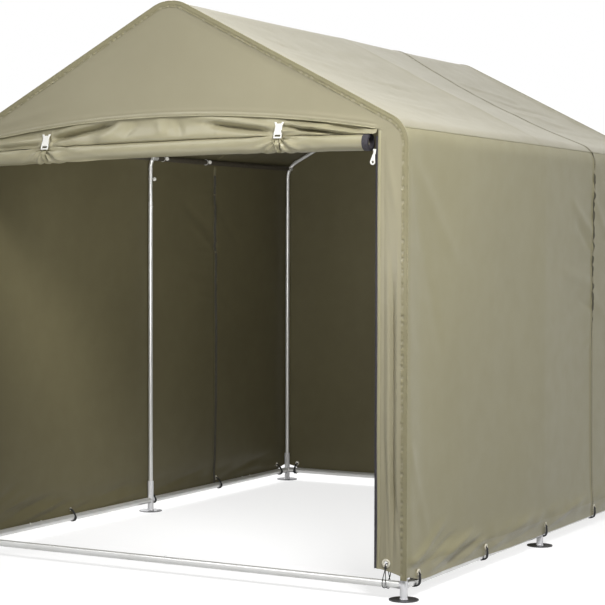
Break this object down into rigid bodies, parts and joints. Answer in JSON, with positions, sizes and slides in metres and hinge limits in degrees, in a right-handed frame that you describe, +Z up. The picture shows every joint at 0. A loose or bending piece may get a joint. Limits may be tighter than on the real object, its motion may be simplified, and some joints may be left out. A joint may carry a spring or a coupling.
{
  "type": "portable fabric storage shelter",
  "caption": "Free-standing gabled storage shelter: steel tube frame on round feet, fitted fabric cover tied to the base rails, and a roll-up front door held up by clips.",
  "frame": {"origin": "on the ground at the middle of the shelter's footprint", "axes": "+X to the right seen from the door, +Y from the door to the back, +Z up"},
  "size_m": [1.895, 2.505, 1.9964],
  "materials": {
    "frame_steel": "white powder coat, satin",
    "foot_steel": "dull zinc plate",
    "cover_cloth": "coated olive woven cloth, matt with a slight sheen",
    "sleeve_cloth": "dark woven cloth, matt",
    "zip_tape": "woven zip tape, matt",
    "black_cord": "braided elastic cord, matt",
    "white_plastic": "moulded white plastic"
  },
  "bodies": {
    "root": {"foot_front_left": "foot_steel", "foot_front_right": "foot_steel", "foot_mid_left": "foot_steel", "foot_mid_right": "foot_steel", "foot_rear_left": "foot_steel", "foot_rear_right": "foot_steel", "post_front_left": "frame_steel", "post_front_right": "frame_steel", "post_mid_left": "frame_steel", "post_mid_right": "frame_steel", "post_rear_left": "frame_steel", "post_rear_right": "frame_steel", "eave_connectors_front": "frame_steel", "eave_connectors_mid": "frame_steel", "eave_connectors_rear": "frame_steel", "ridge_connector_front": "frame_steel", "ridge_connector_mid": "frame_steel", "ridge_connector_rear": "frame_steel", "rafters_front": "frame_steel", "rafters_mid": "frame_steel", "rafters_rear": "frame_steel", "ridge_poles": "frame_steel", "eave_poles": "frame_steel", "eave_sleeves": "sleeve_cloth", "base_rail_front": "frame_steel", "base_rail_rear": "frame_steel", "base_rails_left": "frame_steel", "base_rails_right": "frame_steel", "roof_left": "cover_cloth", "roof_right": "cover_cloth", "left_wall": "cover_cloth", "right_wall": "cover_cloth", "rear_wall": "cover_cloth", "front_gable": "cover_cloth", "front_left_jamb": "cover_cloth", "front_right_jamb": "cover_cloth", "door_drape": "cover_cloth", "door_roll": "cover_cloth", "door_roll_ends": "zip_tape", "door_clips": "white_plastic", "zip_tapes": "zip_tape", "zip_pulls": "white_plastic", "hem_eyelets": "white_plastic", "hem_cords": "black_cord", "ball_bungees": "white_plastic"}
  },
  "joints": []
}
